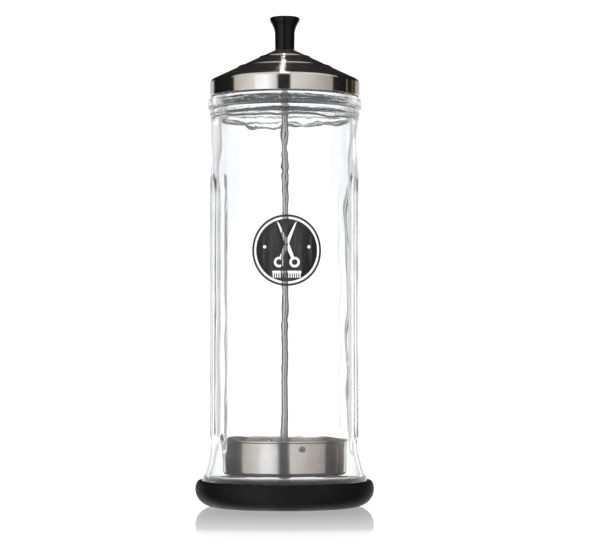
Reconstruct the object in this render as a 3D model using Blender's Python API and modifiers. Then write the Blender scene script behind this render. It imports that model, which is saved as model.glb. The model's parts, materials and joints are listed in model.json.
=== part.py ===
"""Disinfectant jar for a salon counter.

A fluted glass cylinder stands in a rubber boot. Its spun steel lid carries a knob, a rod
and a pan, so lifting the knob raises the tools out of the liquid.

Metres, +Z up. The origin is the middle of the base's underside, and the front faces -Y.
Every piece is turned about the Z axis, which is also the axis that the lid lifts along
and that the knob, rod and pan turn about.
"""
import math

import bmesh
import bpy

MM = 0.001

# How finely round pieces are turned
BODY_STEPS = 72
KNOB_STEPS = 40
HARDWARE_STEPS = 24
MERGE = 0.00001

GAP = 0.3 * MM                  # clearance between pieces that touch

# Rubber boot
BOOT_R = 54.0 * MM              # widest, part of the way up
BOOT_WIDEST_Z = 10.6 * MM
BOOT_FOOT_R = 42.5 * MM         # edge of the flat underside
BOOT_LIP_R = 51.4 * MM
BOOT_LIP_Z = 15.9 * MM
BOOT_LIP_ROUND = 0.5 * MM
BOOT_GRIP_GAP = 0.4 * MM        # sideways clearance at the lip, where the glass slopes
BOOT_FLOOR = 3.0 * MM
BOOT_RECESS_R = 29.0 * MM
BOOT_RECESS = 1.2 * MM

# Glass jar
GLASS_R = 45.3 * MM
BORE_R = 41.2 * MM
NECK_R = 44.2 * MM
NECK_BORE_R = 40.3 * MM
LIP_Z = 257.6 * MM
LIP_ROUND = 1.0 * MM
SHOULDER_TOP = 236.0 * MM       # inner shoulder between the neck's bore and the body's
SHOULDER_BOTTOM = 232.0 * MM
BEAD_R = 46.9 * MM              # thick ring that the lid's edge comes down to
BEAD_Z = 243.4 * MM
BEAD_HALF = 3.5 * MM
BEAD_CENTRE_R = 43.8 * MM
BEAD_END = -65.0                # degrees round the bead's section where the ring takes over
RING_R = 45.8 * MM              # smaller ring under the bead
RING_Z = 237.6 * MM
RING_HALF = 2.2 * MM
RING_DEPTH = 1.5 * MM
RING_BLEND = 0.4 * MM
FLARE_TOP = 37.0 * MM
FOOT_R = 51.2 * MM
FOOT_Z = 12.0 * MM
FOOT_ROUND = 4.0 * MM
FLARE_POWER = 1.4
GLASS_UNDER = BOOT_FLOOR + GAP
FLARE_WALL = 3.2 * MM          # the inside flares too, and leaves a wall this thick
GLASS_FLOOR = 15.7 * MM
FLOOR_ROUND = 2.0 * MM
PUNT_R = 36.0 * MM
PUNT = 1.5 * MM
PUNT_SLOPE = 3.0 * MM

# Flutes on the left and right, and smooth panels on the front and back
PATTERN_TURN = math.radians(5.0)
RIDGE_STEP = math.radians(16.5)
FLUTES_A_SIDE = 4
FLUTE_DEPTH = 0.75 * MM
FLUTE_CUTTER_R = 77.0 * MM
FLUTE_TOP = 199.5 * MM
FLUTE_BOTTOM = 38.5 * MM
PANEL_DEPTH = 0.4 * MM
PANEL_TOP = 199.5 * MM
PANEL_BOTTOM = 34.0 * MM

# Printed badge on the front panel
LABEL_R = 21.0 * MM
LABEL_Z = 153.0 * MM
LABEL_TURN = math.radians(2.0)
LABEL_THICK = 0.25 * MM

# Lid
SHEET = 0.8 * MM
LID_R = 45.5 * MM
LID_BOTTOM = 247.9 * MM
LID_BEND = 2.0 * MM
SEAT_R = 6.3 * MM               # flat seat that the knob bears on
SEAT_Z = 276.5 * MM
CONE_SLOPE = 0.4706             # fall of the cone for each unit of radius
CONE_RINGS = (15.1 * MM, 28.3 * MM)
CONE_RING_HALF = 0.8 * MM
CONE_RING_HEIGHT = 0.4 * MM
HEM = 0.2 * MM                  # how much the folded edge stands in
HEM_TOP = 250.1 * MM
HEM_ROUND = 0.3 * MM

# Rod and its fasteners: M4 thread, standard nuts and washers
ROD_R = 2.0 * MM
ROD_BOTTOM = 16.2 * MM
ROD_TOP = 290.2 * MM
HOLE_R = ROD_R + GAP
NUT_FLATS = 7.0 * MM
NUT_HEIGHT = 3.2 * MM
THIN_NUT_HEIGHT = 2.2 * MM
WASHER_THICK = 1.0 * MM
LID_WASHER_R = 4.5 * MM
PAN_WASHER_R = 6.0 * MM

# Knob
KNOB_BOTTOM = SEAT_Z + GAP
KNOB_STEM_R = 5.9 * MM
KNOB_WAIST_R = 6.05 * MM
KNOB_WAIST_Z = 286.0 * MM
KNOB_RIM_R = 9.2 * MM
KNOB_RIM_Z = 294.2 * MM
KNOB_TOP = 296.7 * MM
KNOB_EDGE = 1.4 * MM
KNOB_UNDERCUT = 0.15 * MM       # the cove ends this far inside the rim
INSERT_R = 3.6 * MM
INSERT_BOTTOM = 277.2 * MM
INSERT_TOP = 290.7 * MM

# Pan
PAN_BOTTOM = 19.2 * MM
PAN_SHEET = 0.7 * MM
PAN_FOOT_R = 37.3 * MM
PAN_TOP_R = 37.7 * MM
PAN_CORNER = 2.5 * MM
CURL_R = 0.75 * MM              # rolled rim
CURL_Z = 40.1 * MM
CURL_CENTRE = 37.75 * MM
CURL_TUCK = 0.2 * MM
SIDE_HOLES = 4
SIDE_HOLE_R = 2.1 * MM
SIDE_HOLE_Z = 35.8 * MM
SIDE_HOLE_TURN = math.radians(16.0)
FLOOR_HOLES = 6
FLOOR_HOLE_R = 2.5 * MM
FLOOR_HOLE_RING = 22.0 * MM

# name: (red, green, blue, alpha), roughness, metallic
FINISHES = {
    "clear_glass": ((0.93, 0.95, 0.95, 0.35), 0.03, 0.0),
    "boot_rubber": ((0.018, 0.018, 0.020, 1.0), 0.62, 0.0),
    "badge_print": ((0.045, 0.045, 0.050, 1.0), 0.45, 0.0),
    "lid_steel": ((0.62, 0.60, 0.58, 1.0), 0.16, 1.0),
    "knob_plastic": ((0.012, 0.012, 0.014, 1.0), 0.18, 0.0),
    "insert_brass": ((0.72, 0.52, 0.22, 1.0), 0.35, 1.0),
    "rod_steel": ((0.55, 0.53, 0.51, 1.0), 0.28, 1.0),
    "pan_steel": ((0.60, 0.57, 0.55, 1.0), 0.30, 1.0),
    "fastener_steel": ((0.58, 0.58, 0.58, 1.0), 0.25, 1.0),
}


def clear_scene():
    for obj in list(bpy.data.objects):
        bpy.data.objects.remove(obj, do_unlink=True)


def new_collection(name):
    collection = bpy.data.collections.new(name)
    bpy.context.scene.collection.children.link(collection)
    return collection


def new_material(name):
    color, roughness, metallic = FINISHES[name]
    material = bpy.data.materials.new(name)
    material.use_nodes = True
    shader = material.node_tree.nodes["Principled BSDF"]
    shader.inputs["Base Color"].default_value = color
    shader.inputs["Roughness"].default_value = roughness
    shader.inputs["Metallic"].default_value = metallic
    material.diffuse_color = color
    return material


def add_object(name, mesh, collection, material=None):
    obj = bpy.data.objects.new(name, mesh)
    collection.objects.link(obj)
    if material:
        mesh.materials.append(material)
    return obj


def arc(centre_r, centre_z, radius_r, radius_z, start, end, points):
    """Points (r, z) along an elliptical arc, angles in degrees from +R towards +Z."""
    for i in range(points):
        a = math.radians(start + (end - start) * i / (points - 1))
        yield centre_r + radius_r * math.cos(a), centre_z + radius_z * math.sin(a)


def turned(name, profile, steps, collection, material=None):
    """Turn a profile of (r, z) points about Z. It runs down the outer side.

    A profile that starts on the axis ends on it too. Any other is a closed loop.
    """
    mesh = bpy.data.meshes.new(name)
    count = len(profile)
    edges = [(i, i + 1) for i in range(count - 1)]
    if profile[0][0] > 0.0:
        edges.append((count - 1, 0))
    mesh.from_pydata([(r, 0.0, z) for r, z in profile], edges, [])
    obj = add_object(name, mesh, collection, material)
    screw = obj.modifiers.new("turn", "SCREW")
    screw.axis = "Z"
    screw.angle = math.tau
    screw.steps = steps
    screw.render_steps = steps
    screw.use_merge_vertices = True
    screw.merge_threshold = MERGE
    screw.use_smooth_shade = True
    return obj


def rod_mesh(name, radius, length, segments):
    mesh = bpy.data.meshes.new(name)
    bm = bmesh.new()
    bmesh.ops.create_cone(bm, cap_ends=True, segments=segments, radius1=radius,
                          radius2=radius, depth=length)
    bm.to_mesh(mesh)
    bm.free()
    return mesh


def as_cutter(obj):
    obj.hide_render = True
    obj.display_type = "WIRE"
    return obj


def boolean(target, tool, operation="DIFFERENCE"):
    modifier = target.modifiers.new(tool.name, "BOOLEAN")
    modifier.operation = operation
    modifier.solver = "EXACT"
    modifier.object = tool


def cut_round_hole(target, name, radius, length, location, rotation, cutters):
    tool = add_object(name, rod_mesh(name, radius, length, HARDWARE_STEPS), cutters)
    tool.location = location
    tool.rotation_euler = rotation
    boolean(target, as_cutter(tool))


def from_front(turn, radius, z):
    """The point at an angle from the front (-Y) towards the right (+X)."""
    return radius * math.sin(turn), -radius * math.cos(turn), z


def flare_radius(z):
    """Outer radius of the glass between the straight wall and the foot."""
    t = (FLARE_TOP - z) / (FLARE_TOP - FOOT_Z)
    return GLASS_R + (FOOT_R - GLASS_R) * t ** FLARE_POWER


def glass_profile():
    flare_bottom = GLASS_FLOOR + FLOOR_ROUND
    floor_centre_r = flare_radius(flare_bottom) - FLARE_WALL - FLOOR_ROUND
    profile = [(0.0, GLASS_FLOOR)]
    profile += arc(floor_centre_r, flare_bottom, FLOOR_ROUND, FLOOR_ROUND, -90, 0, 4)
    inner_steps = 6
    for i in range(1, inner_steps):
        z = flare_bottom + (FLARE_TOP - flare_bottom) * i / inner_steps
        profile.append((max(flare_radius(z) - FLARE_WALL, BORE_R), z))
    shoulder = SHOULDER_TOP - SHOULDER_BOTTOM
    for t in (0.0, 0.3, 0.7, 1.0):
        blend = t * t * (3.0 - 2.0 * t)
        profile.append((BORE_R + (NECK_BORE_R - BORE_R) * blend, SHOULDER_BOTTOM + shoulder * t))
    profile += arc(NECK_BORE_R + LIP_ROUND, LIP_Z - LIP_ROUND, LIP_ROUND, LIP_ROUND, 180, 90, 3)
    profile += arc(NECK_R - LIP_ROUND, LIP_Z - LIP_ROUND, LIP_ROUND, LIP_ROUND, 90, 0, 3)
    bead_depth = BEAD_R - BEAD_CENTRE_R
    bead_start = math.degrees(math.acos((NECK_R - BEAD_CENTRE_R) / bead_depth))
    profile += arc(BEAD_CENTRE_R, BEAD_Z, bead_depth, BEAD_HALF, bead_start, BEAD_END, 8)
    profile += arc(RING_R - RING_DEPTH, RING_Z, RING_DEPTH, RING_HALF, 60, -45, 5)
    profile.append((GLASS_R, RING_Z - RING_HALF - RING_BLEND))
    flare_steps = 6
    for i in range(flare_steps + 1):
        z = FLARE_TOP + (FOOT_Z - FLARE_TOP) * i / flare_steps
        profile.append((flare_radius(z), z))
    profile += arc(FOOT_R - FOOT_ROUND, GLASS_UNDER + FOOT_ROUND, FOOT_ROUND, FOOT_ROUND, 0, -90, 4)
    profile += [(PUNT_R, GLASS_UNDER), (PUNT_R - PUNT_SLOPE, GLASS_UNDER + PUNT)]
    profile.append((0.0, GLASS_UNDER + PUNT))
    return profile


def add_flute_cutters(glass, cutters):
    """Upright capsules that scoop the flutes into the left and right of the wall."""
    reach = GLASS_R - FLUTE_DEPTH + FLUTE_CUTTER_R
    end = math.sqrt(FLUTE_CUTTER_R ** 2 - (reach - GLASS_R) ** 2)
    low = FLUTE_BOTTOM + end
    high = FLUTE_TOP - end
    mesh = bpy.data.meshes.new("flute_cutter")
    bm = bmesh.new()
    bmesh.ops.create_uvsphere(bm, u_segments=120, v_segments=60, radius=FLUTE_CUTTER_R)
    for vert in bm.verts:
        if vert.co.z > MERGE:
            vert.co.z += high - low
    bm.to_mesh(mesh)
    bm.free()
    for side in (-1, 1):
        for i in range(FLUTES_A_SIDE):
            offset = (i - (FLUTES_A_SIDE - 1) / 2) * RIDGE_STEP
            turn = side * math.pi / 2 + offset + PATTERN_TURN
            tool = add_object(f"flute_{'left' if side < 0 else 'right'}_{i + 1}", mesh, cutters)
            tool.location = from_front(turn, reach, low)
            tool.rotation_euler = (0.0, 0.0, turn - math.pi / 2)
            boolean(glass, as_cutter(tool))


def add_panel_cutters(glass, cutters):
    """Shallow sectors of a ring that set the front and back panels in."""
    half = math.pi / 2 - RIDGE_STEP * FLUTES_A_SIDE / 2
    inner = GLASS_R - PANEL_DEPTH
    outer = GLASS_R + 10.0 * MM
    arc_points = 17
    for name, middle in (("front_panel", 0.0), ("back_panel", math.pi)):
        turns = [middle + PATTERN_TURN - half + 2 * half * i / (arc_points - 1) for i in range(arc_points)]
        outline = [from_front(t, inner, 0.0) for t in turns]
        outline += [from_front(t, outer, 0.0) for t in reversed(turns)]
        curve = bpy.data.curves.new(name, "CURVE")
        curve.dimensions = "2D"
        curve.fill_mode = "BOTH"
        curve.extrude = (PANEL_TOP - PANEL_BOTTOM) / 2
        spline = curve.splines.new("POLY")
        spline.points.add(len(outline) - 1)
        for point, (x, y, z) in zip(spline.points, outline):
            point.co = (x, y, z, 1.0)
        spline.use_cyclic_u = True
        source = add_object(name + "_outline", curve, cutters)
        source.location.z = (PANEL_TOP + PANEL_BOTTOM) / 2
        bpy.context.view_layer.update()
        evaluated = source.evaluated_get(bpy.context.evaluated_depsgraph_get())
        mesh = bpy.data.meshes.new_from_object(evaluated)
        bm = bmesh.new()
        bm.from_mesh(mesh)
        bmesh.ops.remove_doubles(bm, verts=bm.verts, dist=MERGE)
        bmesh.ops.recalc_face_normals(bm, faces=bm.faces)
        bm.to_mesh(mesh)
        bm.free()
        tool = add_object(name, mesh, cutters)
        tool.matrix_world = source.matrix_world
        bpy.data.objects.remove(source, do_unlink=True)
        boolean(glass, as_cutter(tool))


def build_glass_jar(parts, cutters):
    glass = turned("glass_jar", glass_profile(), BODY_STEPS, parts, new_material("clear_glass"))
    add_flute_cutters(glass, cutters)
    add_panel_cutters(glass, cutters)
    return glass


def build_base_boot(parts):
    """A cup that the glass foot sits in, with a lip that grips the flare."""
    inner_round = FOOT_ROUND + GAP
    inner_r = FOOT_R + GAP
    lip_in_r = flare_radius(BOOT_LIP_Z) + BOOT_GRIP_GAP
    profile = [(0.0, BOOT_FLOOR)]
    profile += arc(FOOT_R - FOOT_ROUND, GLASS_UNDER + FOOT_ROUND, inner_round, inner_round, -90, 0, 4)
    profile.append((inner_r, FOOT_Z))
    profile.append((lip_in_r, BOOT_LIP_Z - BOOT_LIP_ROUND))
    profile.append((lip_in_r + BOOT_LIP_ROUND, BOOT_LIP_Z))
    profile += arc(BOOT_LIP_R, BOOT_WIDEST_Z, BOOT_R - BOOT_LIP_R, BOOT_LIP_Z - BOOT_WIDEST_Z, 90, 0, 5)
    foot_half = BOOT_R - BOOT_FOOT_R
    profile += list(arc(BOOT_FOOT_R, BOOT_WIDEST_Z, foot_half, BOOT_WIDEST_Z, 0, -90, 7))[1:]
    profile += [(BOOT_RECESS_R + BOOT_RECESS, 0.0), (BOOT_RECESS_R, BOOT_RECESS), (0.0, BOOT_RECESS)]
    return turned("base_boot", profile, BODY_STEPS, parts, new_material("boot_rubber"))


def build_front_label(parts, cutters):
    """A thin round badge that follows the front panel."""
    inner = GLASS_R - PANEL_DEPTH + GAP
    margin = 1.0 * MM
    top = LABEL_Z + LABEL_R + margin
    bottom = LABEL_Z - LABEL_R - margin
    profile = [(inner + LABEL_THICK, top), (inner + LABEL_THICK, bottom), (inner, bottom), (inner, top)]
    label = turned("front_label", profile, BODY_STEPS, parts, new_material("badge_print"))
    mesh = rod_mesh("label_outline", LABEL_R, GLASS_R, BODY_STEPS)
    outline = add_object("label_outline", mesh, cutters)
    outline.location = from_front(LABEL_TURN, GLASS_R, LABEL_Z)
    outline.rotation_euler = (math.pi / 2, 0.0, LABEL_TURN)
    boolean(label, as_cutter(outline), "INTERSECT")
    return label


def cone_ring(radius):
    """Outline of one raised ring, across the cone's slope."""
    length = math.hypot(1.0, CONE_SLOPE)
    along = (1.0 / length, -CONE_SLOPE / length)
    out = (CONE_SLOPE / length, 1.0 / length)
    z = SEAT_Z - CONE_SLOPE * (radius - SEAT_R)
    for angle in (180, 130, 90, 50, 0):
        a = math.radians(angle)
        s = CONE_RING_HALF * math.cos(a)
        h = CONE_RING_HEIGHT * math.sin(a)
        yield radius + along[0] * s + out[0] * h, z + along[1] * s + out[1] * h


def build_lid_shell(parts):
    """Spun sheet: a flat seat, a ringed cone and a straight band with a hemmed edge."""
    slope = math.atan(CONE_SLOPE)
    bend_r = LID_R - LID_BEND
    tangent_r = bend_r + LID_BEND * math.sin(slope)
    tangent_z = SEAT_Z - CONE_SLOPE * (tangent_r - SEAT_R)
    bend_z = tangent_z - LID_BEND * math.cos(slope)
    bend_start = 90 - math.degrees(slope)
    profile = [(HOLE_R, SEAT_Z), (SEAT_R, SEAT_Z)]
    for radius in CONE_RINGS:
        profile += cone_ring(radius)
    profile += arc(bend_r, bend_z, LID_BEND, LID_BEND, bend_start, 0, 5)
    inner_r = LID_R - SHEET
    hem_r = inner_r - HEM
    profile += [(LID_R, LID_BOTTOM + HEM_ROUND), (LID_R - HEM_ROUND, LID_BOTTOM)]
    profile += [(hem_r + HEM_ROUND, LID_BOTTOM), (hem_r, LID_BOTTOM + HEM_ROUND)]
    profile += [(hem_r, HEM_TOP), (inner_r, HEM_TOP + HEM)]
    inner_bend = LID_BEND - SHEET
    profile += arc(bend_r, bend_z, inner_bend, inner_bend, 0, bend_start, 4)
    seat_under = SEAT_Z - SHEET
    cone_drop = SHEET * math.hypot(1.0, CONE_SLOPE)
    seat_inner_r = SEAT_R - (cone_drop - SHEET) / CONE_SLOPE
    profile += [(seat_inner_r, seat_under), (HOLE_R, seat_under)]
    return turned("lid_shell", profile, BODY_STEPS, parts, new_material("lid_steel"))


def build_knob(parts):
    """A waisted knob with a flared rim, hollow for its threaded insert."""
    profile = [(0.0, KNOB_TOP)]
    edge_r = KNOB_RIM_R - KNOB_EDGE
    profile += arc(edge_r, KNOB_TOP - KNOB_EDGE, KNOB_EDGE, KNOB_EDGE, 90, 0, 4)
    cove_steps = 6
    cove_r = KNOB_RIM_R - KNOB_UNDERCUT
    for i in range(cove_steps + 1):
        t = 1.0 - i / cove_steps
        z = KNOB_WAIST_Z + (KNOB_RIM_Z - KNOB_WAIST_Z) * t
        profile.append((KNOB_WAIST_R + (cove_r - KNOB_WAIST_R) * t * t, z))
    socket_r = INSERT_R + GAP
    socket_top = INSERT_TOP + GAP
    profile += [(KNOB_STEM_R, KNOB_BOTTOM), (socket_r, KNOB_BOTTOM)]
    profile += [(socket_r, socket_top), (0.0, socket_top)]
    return turned("knob", profile, KNOB_STEPS, parts, new_material("knob_plastic"))


def build_knob_insert(parts):
    profile = [(INSERT_R, INSERT_TOP), (INSERT_R, INSERT_BOTTOM)]
    profile += [(HOLE_R, INSERT_BOTTOM), (HOLE_R, INSERT_TOP)]
    return turned("knob_insert", profile, HARDWARE_STEPS, parts, new_material("insert_brass"))


def build_lift_rod(parts):
    length = ROD_TOP - ROD_BOTTOM
    mesh = rod_mesh("lift_rod", ROD_R, length, HARDWARE_STEPS)
    rod = add_object("lift_rod", mesh, parts, new_material("rod_steel"))
    rod.location.z = ROD_BOTTOM + length / 2
    return rod


def build_washer(name, outer_r, bottom, material, parts):
    profile = [(outer_r, WASHER_THICK), (outer_r, 0.0), (HOLE_R, 0.0), (HOLE_R, WASHER_THICK)]
    washer = turned(name, profile, HARDWARE_STEPS, parts, material)
    washer.location.z = bottom
    return washer


def build_nut(name, height, bottom, material, parts, cutters):
    """A hexagon nut on the rod's thread."""
    corner_r = NUT_FLATS / 2 / math.cos(math.pi / 6)
    nut = add_object(name, rod_mesh(name, corner_r, height, 6), parts, material)
    nut.location.z = bottom + height / 2
    cut_round_hole(nut, name + "_hole", HOLE_R, height * 3, nut.location, (0.0, 0.0, 0.0), cutters)
    return nut


def build_pan(parts, cutters):
    """A drawn cup with a rolled rim and drain holes."""
    profile = list(arc(CURL_CENTRE, CURL_Z, CURL_R, CURL_R, 180, -110, 8))
    corner_r = PAN_FOOT_R - PAN_CORNER
    corner_z = PAN_BOTTOM + PAN_CORNER
    profile.append((PAN_TOP_R, CURL_Z - CURL_R - CURL_TUCK))
    profile += arc(corner_r, corner_z, PAN_CORNER, PAN_CORNER, 0, -90, 4)
    profile += [(HOLE_R, PAN_BOTTOM), (HOLE_R, PAN_BOTTOM + PAN_SHEET)]
    inner_corner = PAN_CORNER - PAN_SHEET
    profile += arc(corner_r, corner_z, inner_corner, inner_corner, -90, 0, 4)
    pan = turned("pan", profile, BODY_STEPS, parts, new_material("pan_steel"))
    for i in range(SIDE_HOLES):
        turn = SIDE_HOLE_TURN + i * math.tau / SIDE_HOLES
        place = from_front(turn, PAN_FOOT_R, SIDE_HOLE_Z)
        tilt = (math.pi / 2, 0.0, turn)
        cut_round_hole(pan, f"side_hole_{i + 1}", SIDE_HOLE_R, 10.0 * MM, place, tilt, cutters)
    for i in range(FLOOR_HOLES):
        turn = SIDE_HOLE_TURN + i * math.tau / FLOOR_HOLES
        place = from_front(turn, FLOOR_HOLE_RING, PAN_BOTTOM)
        cut_round_hole(pan, f"floor_hole_{i + 1}", FLOOR_HOLE_R, 4.0 * MM, place, (0.0, 0.0, 0.0), cutters)
    return pan


def build_rod_fasteners(parts, cutters):
    """The nuts and washers that clamp the lid and the pan to the rod."""
    steel = new_material("fastener_steel")
    lid_washer_z = SEAT_Z - SHEET - GAP - WASHER_THICK
    lid_nut_z = lid_washer_z - GAP - NUT_HEIGHT
    pan_washer_z = PAN_BOTTOM + PAN_SHEET + GAP
    upper_nut_z = pan_washer_z + WASHER_THICK + GAP
    lower_nut_z = PAN_BOTTOM - GAP - THIN_NUT_HEIGHT
    build_washer("lid_washer", LID_WASHER_R, lid_washer_z, steel, parts)
    build_nut("lid_nut", NUT_HEIGHT, lid_nut_z, steel, parts, cutters)
    build_washer("pan_washer", PAN_WASHER_R, pan_washer_z, steel, parts)
    build_nut("pan_upper_nut", NUT_HEIGHT, upper_nut_z, steel, parts, cutters)
    build_nut("pan_lower_nut", THIN_NUT_HEIGHT, lower_nut_z, steel, parts, cutters)


def main():
    clear_scene()
    parts = new_collection("disinfectant_jar")
    cutters = new_collection("cutters")
    build_glass_jar(parts, cutters)
    build_base_boot(parts)
    build_front_label(parts, cutters)
    build_lid_shell(parts)
    build_knob(parts)
    build_knob_insert(parts)
    build_lift_rod(parts)
    build_pan(parts, cutters)
    build_rod_fasteners(parts, cutters)
    bpy.context.view_layer.update()


main()
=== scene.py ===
"""Looks of the disinfectant jar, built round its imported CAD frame.

Metres, +Z up, the front facing -Y. Every turned piece is rebuilt here as a fine surface
with its real edges: fluted glass, spun and curled sheet steel, threads and moulded rubber.
"""
import json
import math

import bpy
import numpy as np
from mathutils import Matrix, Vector, geometry


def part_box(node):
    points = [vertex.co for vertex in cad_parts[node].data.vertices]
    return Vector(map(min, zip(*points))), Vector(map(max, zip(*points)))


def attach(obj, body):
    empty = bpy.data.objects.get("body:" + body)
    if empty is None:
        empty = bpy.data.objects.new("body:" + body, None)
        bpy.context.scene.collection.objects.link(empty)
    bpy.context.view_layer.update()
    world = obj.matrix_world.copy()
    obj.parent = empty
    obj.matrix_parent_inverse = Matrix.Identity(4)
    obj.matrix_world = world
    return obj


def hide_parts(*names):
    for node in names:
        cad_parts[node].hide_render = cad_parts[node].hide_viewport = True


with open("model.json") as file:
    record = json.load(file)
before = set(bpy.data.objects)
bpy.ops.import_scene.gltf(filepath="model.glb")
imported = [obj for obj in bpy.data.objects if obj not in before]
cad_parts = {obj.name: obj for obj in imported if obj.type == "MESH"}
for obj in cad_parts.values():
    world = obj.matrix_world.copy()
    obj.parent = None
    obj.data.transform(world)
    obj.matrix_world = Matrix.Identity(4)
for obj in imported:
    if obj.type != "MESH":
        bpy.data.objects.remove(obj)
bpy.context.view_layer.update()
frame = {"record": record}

MM = 0.001
ARC_STEP = math.radians(11.0)   # how finely rounded corners are drawn
STRAIGHT = math.radians(89.0)   # half the angle from which a corner is left as it is
SHARP = math.radians(38.0)      # faces that meet at more than this are shaded apart
ROUND_STEPS = 240               # steps round the axis of a large turned piece
SMALL_STEPS = 96                # and of a small one
SKIN = 0.01 * MM                # points of a turned piece this near its surface are on it
ROD_HOLE_R = 2.3 * MM           # holes that the rod goes through


# ---------------------------------------------------------------- shapes

def rounded(corners, closed=False):
    """Points (r, z) of an outline given as corners (r, z, fillet radius).

    A fillet is made smaller where a side is too short, so that two never meet.
    """
    points = []
    count = len(corners)
    for i, (r, z, fillet) in enumerate(corners):
        here = np.array((r, z))
        if fillet <= 0.0 or (not closed and i in (0, count - 1)):
            points.append(here)
            continue
        back = np.array(corners[i - 1][:2]) - here
        ahead = np.array(corners[(i + 1) % count][:2]) - here
        reach = min(np.linalg.norm(back), np.linalg.norm(ahead)) * 0.499
        back /= np.linalg.norm(back)
        ahead /= np.linalg.norm(ahead)
        half = math.acos(np.clip(back @ ahead, -1.0, 1.0)) / 2
        if half > STRAIGHT:
            points.append(here)
            continue
        tangent = min(fillet / math.tan(half), reach)
        radius = tangent * math.tan(half)
        middle = (back + ahead) / np.linalg.norm(back + ahead)
        centre = here + middle * radius / math.sin(half)
        first = here + back * tangent - centre
        last = here + ahead * tangent - centre
        start = math.atan2(first[1], first[0])
        sweep = (math.atan2(last[1], last[0]) - start + math.pi) % math.tau - math.pi
        steps = max(2, math.ceil(abs(sweep) / ARC_STEP))
        for k in range(steps + 1):
            a = start + sweep * k / steps
            points.append(centre + radius * np.array((math.cos(a), math.sin(a))))
    return points


def arc(centre, radius, start, end, steps):
    """Points along an arc, angles in degrees from +R towards +Z."""
    points = []
    for a in np.radians(np.linspace(start, end, steps + 1)):
        points.append(np.array((centre[0] + radius * math.cos(a), centre[1] + radius * math.sin(a))))
    return points


def swelling(core, outer, middle, half, start, end, power=2.0, steps=29):
    """The section of a ring that stands out from a core radius to an outer one.

    Its middle is at the height middle, and half is half its height. The angles, in degrees,
    run from its upper side to its lower one. A power of 2 makes an ellipse, a higher one is
    squarer.
    """
    points = []
    for a in np.radians(np.linspace(start, end, steps + 1)):
        r = core + (outer - core) * abs(math.cos(a)) ** (2 / power)
        z = middle + half * math.copysign(abs(math.sin(a)) ** (2 / power), a)
        points.append(np.array((r, z)))
    return points


def densify(points, longest):
    """The same line with no stretch longer than the given length."""
    out = [points[0]]
    for a, b in zip(points, points[1:]):
        parts = max(1, math.ceil(np.linalg.norm(np.subtract(b, a)) / longest))
        out += [np.add(a, np.subtract(b, a) * k / parts) for k in range(1, parts + 1)]
    return out


def sheet(path, thickness):
    """Closed outline of a sheet of even thickness whose outer face follows the path.

    The sheet lies on the right of the path: under it where the path runs outward, and
    inside it where the path runs down.
    """
    path = np.array(path)
    ahead = np.gradient(path, axis=0)
    ahead /= np.linalg.norm(ahead, axis=1)[:, None]
    inward = np.stack((ahead[:, 1], -ahead[:, 0]), axis=1)
    inner = path + inward * thickness
    return list(path) + list(inner[::-1])


def revolve(name, profile, turns=ROUND_STEPS, closed=True, warp=None):
    """Turn an outline that runs down its outer side about Z.

    A closed outline makes a ring. An open one starts and ends on the axis. turns is a
    number of even steps or a list of angles. warp takes and gives arrays of radius and
    height, one row for each point and one column for each turn.
    """
    angles = np.arange(turns) * math.tau / turns if isinstance(turns, int) else np.array(turns)
    profile = np.array(profile)
    if not closed:
        caps = (profile[0][1], profile[-1][1])
        profile = profile[1:-1]
    radius = np.repeat(profile[:, :1], len(angles), axis=1)
    height = np.repeat(profile[:, 1:], len(angles), axis=1)
    if warp:
        radius, height = warp(radius, height, angles)
    verts = np.stack((radius * np.cos(angles), radius * np.sin(angles), height), axis=2)
    rows, columns = radius.shape
    verts = verts.reshape(-1, 3).tolist()
    index = np.arange(rows * columns).reshape(rows, columns)
    lower = np.roll(index, -1, axis=0) if closed else index[1:]
    upper = index if closed else index[:-1]
    next_lower, next_upper = (np.roll(row, -1, axis=1) for row in (lower, upper))
    faces = np.stack((upper, lower, next_lower, next_upper), axis=2).reshape(-1, 4).tolist()
    if not closed:
        top, bottom = len(verts), len(verts) + 1
        verts += [(0.0, 0.0, caps[0]), (0.0, 0.0, caps[1])]
        first, last = index[0].tolist(), index[-1].tolist()
        faces += [(top, a, b) for a, b in zip(first, first[1:] + first[:1])]
        faces += [(bottom, b, a) for a, b in zip(last, last[1:] + last[:1])]
    return finish_mesh(name, verts, faces)


def finish_mesh(name, verts, faces):
    mesh = bpy.data.meshes.new(name)
    mesh.from_pydata(verts, [], faces)
    mesh.validate()
    shade(mesh)
    obj = bpy.data.objects.new(name, mesh)
    bpy.context.scene.collection.objects.link(obj)
    return obj


def shade(mesh):
    mesh.shade_smooth()
    mesh.set_sharp_from_angle(angle=SHARP)


def smoothstep(low, high, value):
    t = np.clip((value - low) / (high - low), 0.0, 1.0)
    return t * t * (3.0 - 2.0 * t)


def window(value, rise, fall):
    """1 between a rise and a fall, each given as its start and end, and 0 outside them."""
    return smoothstep(*rise, value) * (1.0 - smoothstep(*fall, value))


def soft_min(a, b, blend):
    """The lesser of two values, with the corner where they cross rounded off."""
    h = np.clip(0.5 + 0.5 * (b - a) / blend, 0.0, 1.0)
    return b + (a - b) * h - blend * h * (1.0 - h)


def stand_for(piece, node, material):
    """Show the piece in place of a CAD node, moving with the same body."""
    record = frame["record"]
    body = next(b for b, nodes in record["behaviour"]["bodies"].items() if node in nodes)
    piece.data.materials.append(material)
    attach(piece, body)
    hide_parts(node)
    return piece


# ---------------------------------------------------------------- shader nodes

MIX_FACTOR, MIX_FIRST, MIX_SECOND = 0, 6, 7     # inputs of a Mix node that mixes colors
MIX_RESULT = 2                                  # and its output


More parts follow.
